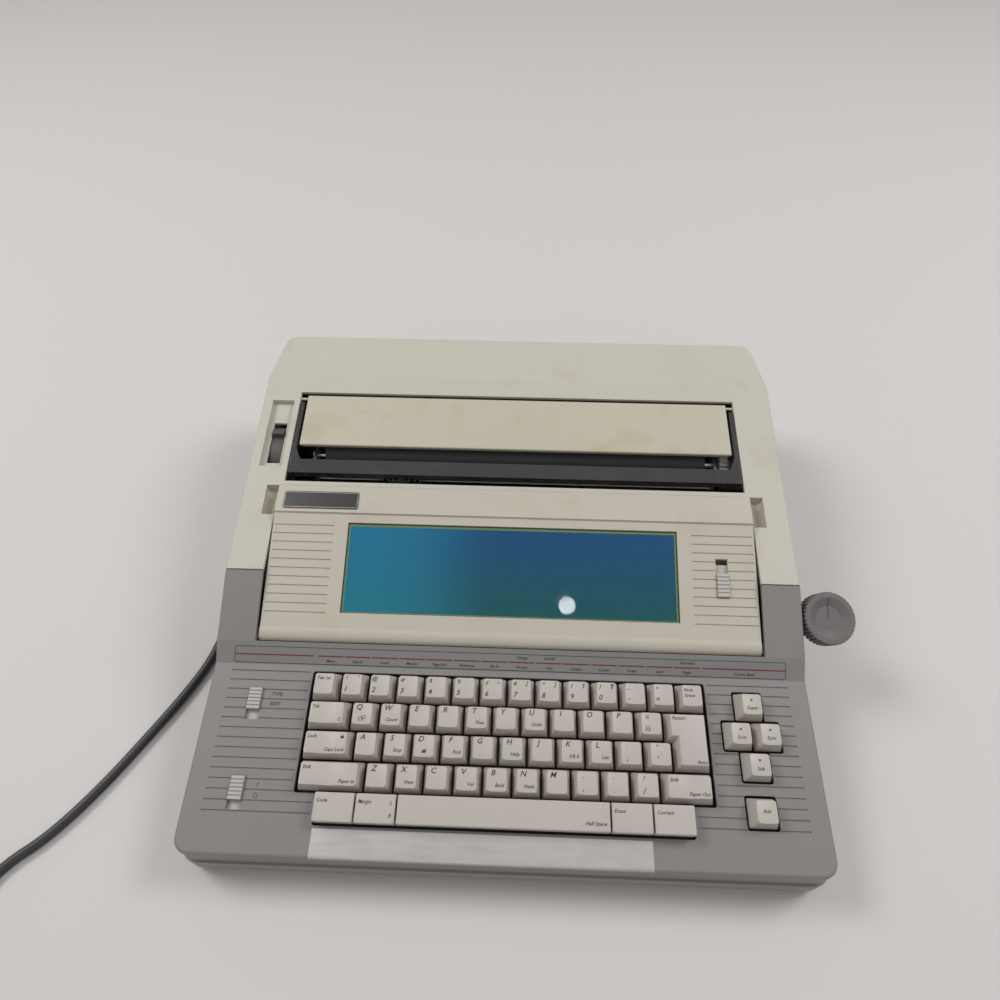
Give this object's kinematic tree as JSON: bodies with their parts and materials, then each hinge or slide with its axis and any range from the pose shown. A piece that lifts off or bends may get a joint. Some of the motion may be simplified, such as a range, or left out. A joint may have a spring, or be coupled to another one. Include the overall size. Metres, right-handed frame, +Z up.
{
  "type": "word processor",
  "caption": "Desktop word processor with a typing keyboard, a tilting display lid, a daisy-wheel printer under a smoked shield, a paper rest, a disk drive, a feed knob and a mains cord.",
  "frame": {"origin": "on the table, under the middle of the machine's box without its mains cord", "axes": "+X to the typist's right, +Y to the rear, +Z up"},
  "size_m": [0.6868, 0.6023, 0.1237],
  "materials": {
    "cover_beige": "fine moulded grain",
    "deck_grey": "fine moulded grain",
    "base_beige": "fine moulded grain",
    "key_light": "satin",
    "switch_grey": "satin",
    "knob_beige": "satin",
    "inner_black": "satin",
    "inner_grey": "satin",
    "smoked": "clear smoked acrylic",
    "screen": "liquid crystal panel",
    "lens": "clear polished",
    "platen_rubber": "ground rubber",
    "foot_rubber": "matt rubber",
    "cord_black": "soft vinyl",
    "steel": "plated sheet and ground bar",
    "badge_blank": "blank printed foil",
    "board_green": "solder mask",
    "drive_grey": "satin"
  },
  "bodies": {
    "casing": {"lower_case": "base_beige", "keyboard_deck": "deck_grey", "rear_cover": "cover_beige", "rubber_feet": "foot_rubber", "case_screws": "steel", "key_plate": "inner_black", "knob_bracket": "deck_grey", "side_frames": "steel", "carriage_rails": "steel", "paper_pan": "steel", "feed_motor": "steel", "main_board": "board_green", "power_supply": "board_green", "disk_drive": "drive_grey", "power_cord": "cord_black", "cord_coil": "cord_black", "mains_plug": "cord_black", "strain_relief": "cord_black"},
    "display_lid": {"display_housing": "cover_beige", "display_back": "base_beige", "lcd_module": "screen", "lcd_window": "lens", "badge_plate": "badge_blank"},
    "contrast_thumb": {"contrast_slider": "switch_grey"},
    "shield": {"sound_shield": "smoked"},
    "paper_rest": {"paper_support": "cover_beige"},
    "paper_lever": {"release_lever": "key_light"},
    "power_thumb": {"power_switch": "switch_grey"},
    "mode_thumb": {"mode_switch": "switch_grey"},
    "platen": {"platen_roller": "platen_rubber", "platen_shaft": "steel", "platen_gear": "inner_grey"},
    "pinion": {"feed_pinion": "inner_grey"},
    "knob": {"feed_knob": "knob_beige"},
    "carriage": {"print_carriage": "inner_black", "wheel_motor": "steel", "ribbon_cassette": "inner_grey"},
    "type_wheel": {"daisy_wheel": "inner_black"},
    "disk_button": {"eject_button": "key_light"},
    "key_advance": {"key_advance": "key_light"},
    "key_backspace": {"key_backspace": "key_light"},
    "key_code": {"key_code": "key_light"},
    "key_correct": {"key_correct": "key_light"},
    "key_cursor_down": {"key_cursor_down": "key_light"},
    "key_cursor_left": {"key_cursor_left": "key_light"},
    "key_cursor_right": {"key_cursor_right": "key_light"},
    "key_cursor_up": {"key_cursor_up": "key_light"},
    "key_erase": {"key_erase": "key_light"},
    "key_lock": {"key_lock": "key_light"},
    "key_margin": {"key_margin": "key_light"},
    "key_return": {"key_return": "key_light"},
    "key_shift_left": {"key_shift_left": "key_light"},
    "key_shift_right": {"key_shift_right": "key_light"},
    "key_tab": {"key_tab": "key_light"},
    "key_tab_set": {"key_tab_set": "key_light"},
    "space_bar": {"space_bar": "key_light"},
    "keys_number_row": {"keys_number_row": "key_light"},
    "keys_upper_row": {"keys_upper_row": "key_light"},
    "keys_home_row": {"keys_home_row": "key_light"},
    "keys_lower_row": {"keys_lower_row": "key_light"}
  },
  "joints": [
    {"name": "key_advance_press", "type": "slide", "parent": "casing", "child": "key_advance", "axis": [0, 0.1564, -0.9877], "range_m": [0, 0.0035], "stiffness_N_per_m": 250, "springref_m": -0.004},
    {"name": "key_backspace_press", "type": "slide", "parent": "casing", "child": "key_backspace", "axis": [0, 0.1564, -0.9877], "range_m": [0, 0.0035], "stiffness_N_per_m": 250, "springref_m": -0.004},
    {"name": "key_code_press", "type": "slide", "parent": "casing", "child": "key_code", "axis": [0, 0.1564, -0.9877], "range_m": [0, 0.0035], "stiffness_N_per_m": 250, "springref_m": -0.004},
    {"name": "key_correct_press", "type": "slide", "parent": "casing", "child": "key_correct", "axis": [0, 0.1564, -0.9877], "range_m": [0, 0.0035], "stiffness_N_per_m": 250, "springref_m": -0.004},
    {"name": "key_cursor_down_press", "type": "slide", "parent": "casing", "child": "key_cursor_down", "axis": [0, 0.1564, -0.9877], "range_m": [0, 0.0035], "stiffness_N_per_m": 250, "springref_m": -0.004},
    {"name": "key_cursor_left_press", "type": "slide", "parent": "casing", "child": "key_cursor_left", "axis": [0, 0.1564, -0.9877], "range_m": [0, 0.0035], "stiffness_N_per_m": 250, "springref_m": -0.004},
    {"name": "key_cursor_right_press", "type": "slide", "parent": "casing", "child": "key_cursor_right", "axis": [0, 0.1564, -0.9877], "range_m": [0, 0.0035], "stiffness_N_per_m": 250, "springref_m": -0.004},
    {"name": "key_cursor_up_press", "type": "slide", "parent": "casing", "child": "key_cursor_up", "axis": [0, 0.1564, -0.9877], "range_m": [0, 0.0035], "stiffness_N_per_m": 250, "springref_m": -0.004},
    {"name": "key_erase_press", "type": "slide", "parent": "casing", "child": "key_erase", "axis": [0, 0.1564, -0.9877], "range_m": [0, 0.0035], "stiffness_N_per_m": 250, "springref_m": -0.004},
    {"name": "key_lock_press", "type": "slide", "parent": "casing", "child": "key_lock", "axis": [0, 0.1564, -0.9877], "range_m": [0, 0.0035], "stiffness_N_per_m": 250, "springref_m": -0.004},
    {"name": "key_margin_press", "type": "slide", "parent": "casing", "child": "key_margin", "axis": [0, 0.1564, -0.9877], "range_m": [0, 0.0035], "stiffness_N_per_m": 250, "springref_m": -0.004},
    {"name": "key_return_press", "type": "slide", "parent": "casing", "child": "key_return", "axis": [0, 0.1564, -0.9877], "range_m": [0, 0.0035], "stiffness_N_per_m": 250, "springref_m": -0.004},
    {"name": "key_shift_left_press", "type": "slide", "parent": "casing", "child": "key_shift_left", "axis": [0, 0.1564, -0.9877], "range_m": [0, 0.0035], "stiffness_N_per_m": 250, "springref_m": -0.004},
    {"name": "key_shift_right_press", "type": "slide", "parent": "casing", "child": "key_shift_right", "axis": [0, 0.1564, -0.9877], "range_m": [0, 0.0035], "stiffness_N_per_m": 250, "springref_m": -0.004},
    {"name": "key_tab_press", "type": "slide", "parent": "casing", "child": "key_tab", "axis": [0, 0.1564, -0.9877], "range_m": [0, 0.0035], "stiffness_N_per_m": 250, "springref_m": -0.004},
    {"name": "key_tab_set_press", "type": "slide", "parent": "casing", "child": "key_tab_set", "axis": [0, 0.1564, -0.9877], "range_m": [0, 0.0035], "stiffness_N_per_m": 250, "springref_m": -0.004},
    {"name": "space_bar_press", "type": "slide", "parent": "casing", "child": "space_bar", "axis": [0, 0.1564, -0.9877], "range_m": [0, 0.0035], "stiffness_N_per_m": 500, "springref_m": -0.004},
    {"name": "keys_number_row_press", "type": "slide", "parent": "casing", "child": "keys_number_row", "axis": [0, 0.1564, -0.9877], "range_m": [0, 0.0035], "stiffness_N_per_m": 1500, "springref_m": -0.004},
    {"name": "keys_upper_row_press", "type": "slide", "parent": "casing", "child": "keys_upper_row", "axis": [0, 0.1564, -0.9877], "range_m": [0, 0.0035], "stiffness_N_per_m": 1500, "springref_m": -0.004},
    {"name": "keys_home_row_press", "type": "slide", "parent": "casing", "child": "keys_home_row", "axis": [0, 0.1564, -0.9877], "range_m": [0, 0.0035], "stiffness_N_per_m": 1500, "springref_m": -0.004},
    {"name": "keys_lower_row_press", "type": "slide", "parent": "casing", "child": "keys_lower_row", "axis": [0, 0.1564, -0.9877], "range_m": [0, 0.0035], "stiffness_N_per_m": 1500, "springref_m": -0.004},
    {"name": "display_tilt", "type": "hinge", "parent": "casing", "child": "display_lid", "pos_m": [-0.01933, -0.06794, 0.06416], "axis": [1, 0, 0], "range_deg": [0, 75]},
    {"name": "contrast_slide", "type": "slide", "parent": "display_lid", "child": "contrast_thumb", "axis": [0, 0.9281, 0.3724], "range_m": [0, 0.01]},
    {"name": "shield_lift", "type": "hinge", "parent": "casing", "child": "shield", "pos_m": [-0.01933, 0.1128, 0.11202], "axis": [-1, 0, 0], "range_deg": [0, 55]},
    {"name": "paper_rest_lift", "type": "hinge", "parent": "casing", "child": "paper_rest", "pos_m": [-0.01933, 0.11919, 0.11705], "axis": [-1, 0, 0], "range_deg": [0, 100]},
    {"name": "paper_release", "type": "hinge", "parent": "casing", "child": "paper_lever", "pos_m": [-0.20763, 0.08391, 0.07707], "axis": [1, 0, 0], "range_deg": [0, 26]},
    {"name": "power_slide", "type": "slide", "parent": "casing", "child": "power_thumb", "axis": [0, -0.9877, -0.1564], "range_m": [0, 0.0056]},
    {"name": "mode_slide", "type": "slide", "parent": "casing", "child": "mode_thumb", "axis": [0, -0.9877, -0.1564], "range_m": [0, 0.0064]},
    {"name": "platen_spin", "type": "hinge", "parent": "casing", "child": "platen", "pos_m": [-0.01933, 0.08482, 0.08734], "axis": [1, 0, 0], "continuous": true},
    {"name": "pinion_spin", "type": "hinge", "parent": "casing", "child": "pinion", "pos_m": [-0.01933, 0.09532, 0.06915], "axis": [1, 0, 0], "continuous": true},
    {"name": "knob_spin", "type": "hinge", "parent": "casing", "child": "knob", "pos_m": [0.20607, -0.0468, 0.077], "axis": [0.0872, -0.3972, 0.9136], "continuous": true},
    {"name": "carriage_travel", "type": "slide", "parent": "casing", "child": "carriage", "axis": [1, 0, 0], "range_m": [-0.02, 0.195]},
    {"name": "wheel_spin", "type": "hinge", "parent": "carriage", "child": "type_wheel", "pos_m": [-0.10933, 0.05682, 0.05134], "axis": [0, 1, 0], "continuous": true},
    {"name": "eject_press", "type": "slide", "parent": "casing", "child": "disk_button", "axis": [-1, 0, 0], "range_m": [0, 0.003], "stiffness_N_per_m": 250, "springref_m": -0.003}
  ],
  "couplings": [
    {"joint": "pinion_spin", "follows": "platen_spin", "ratio": -2.5}
  ]
}
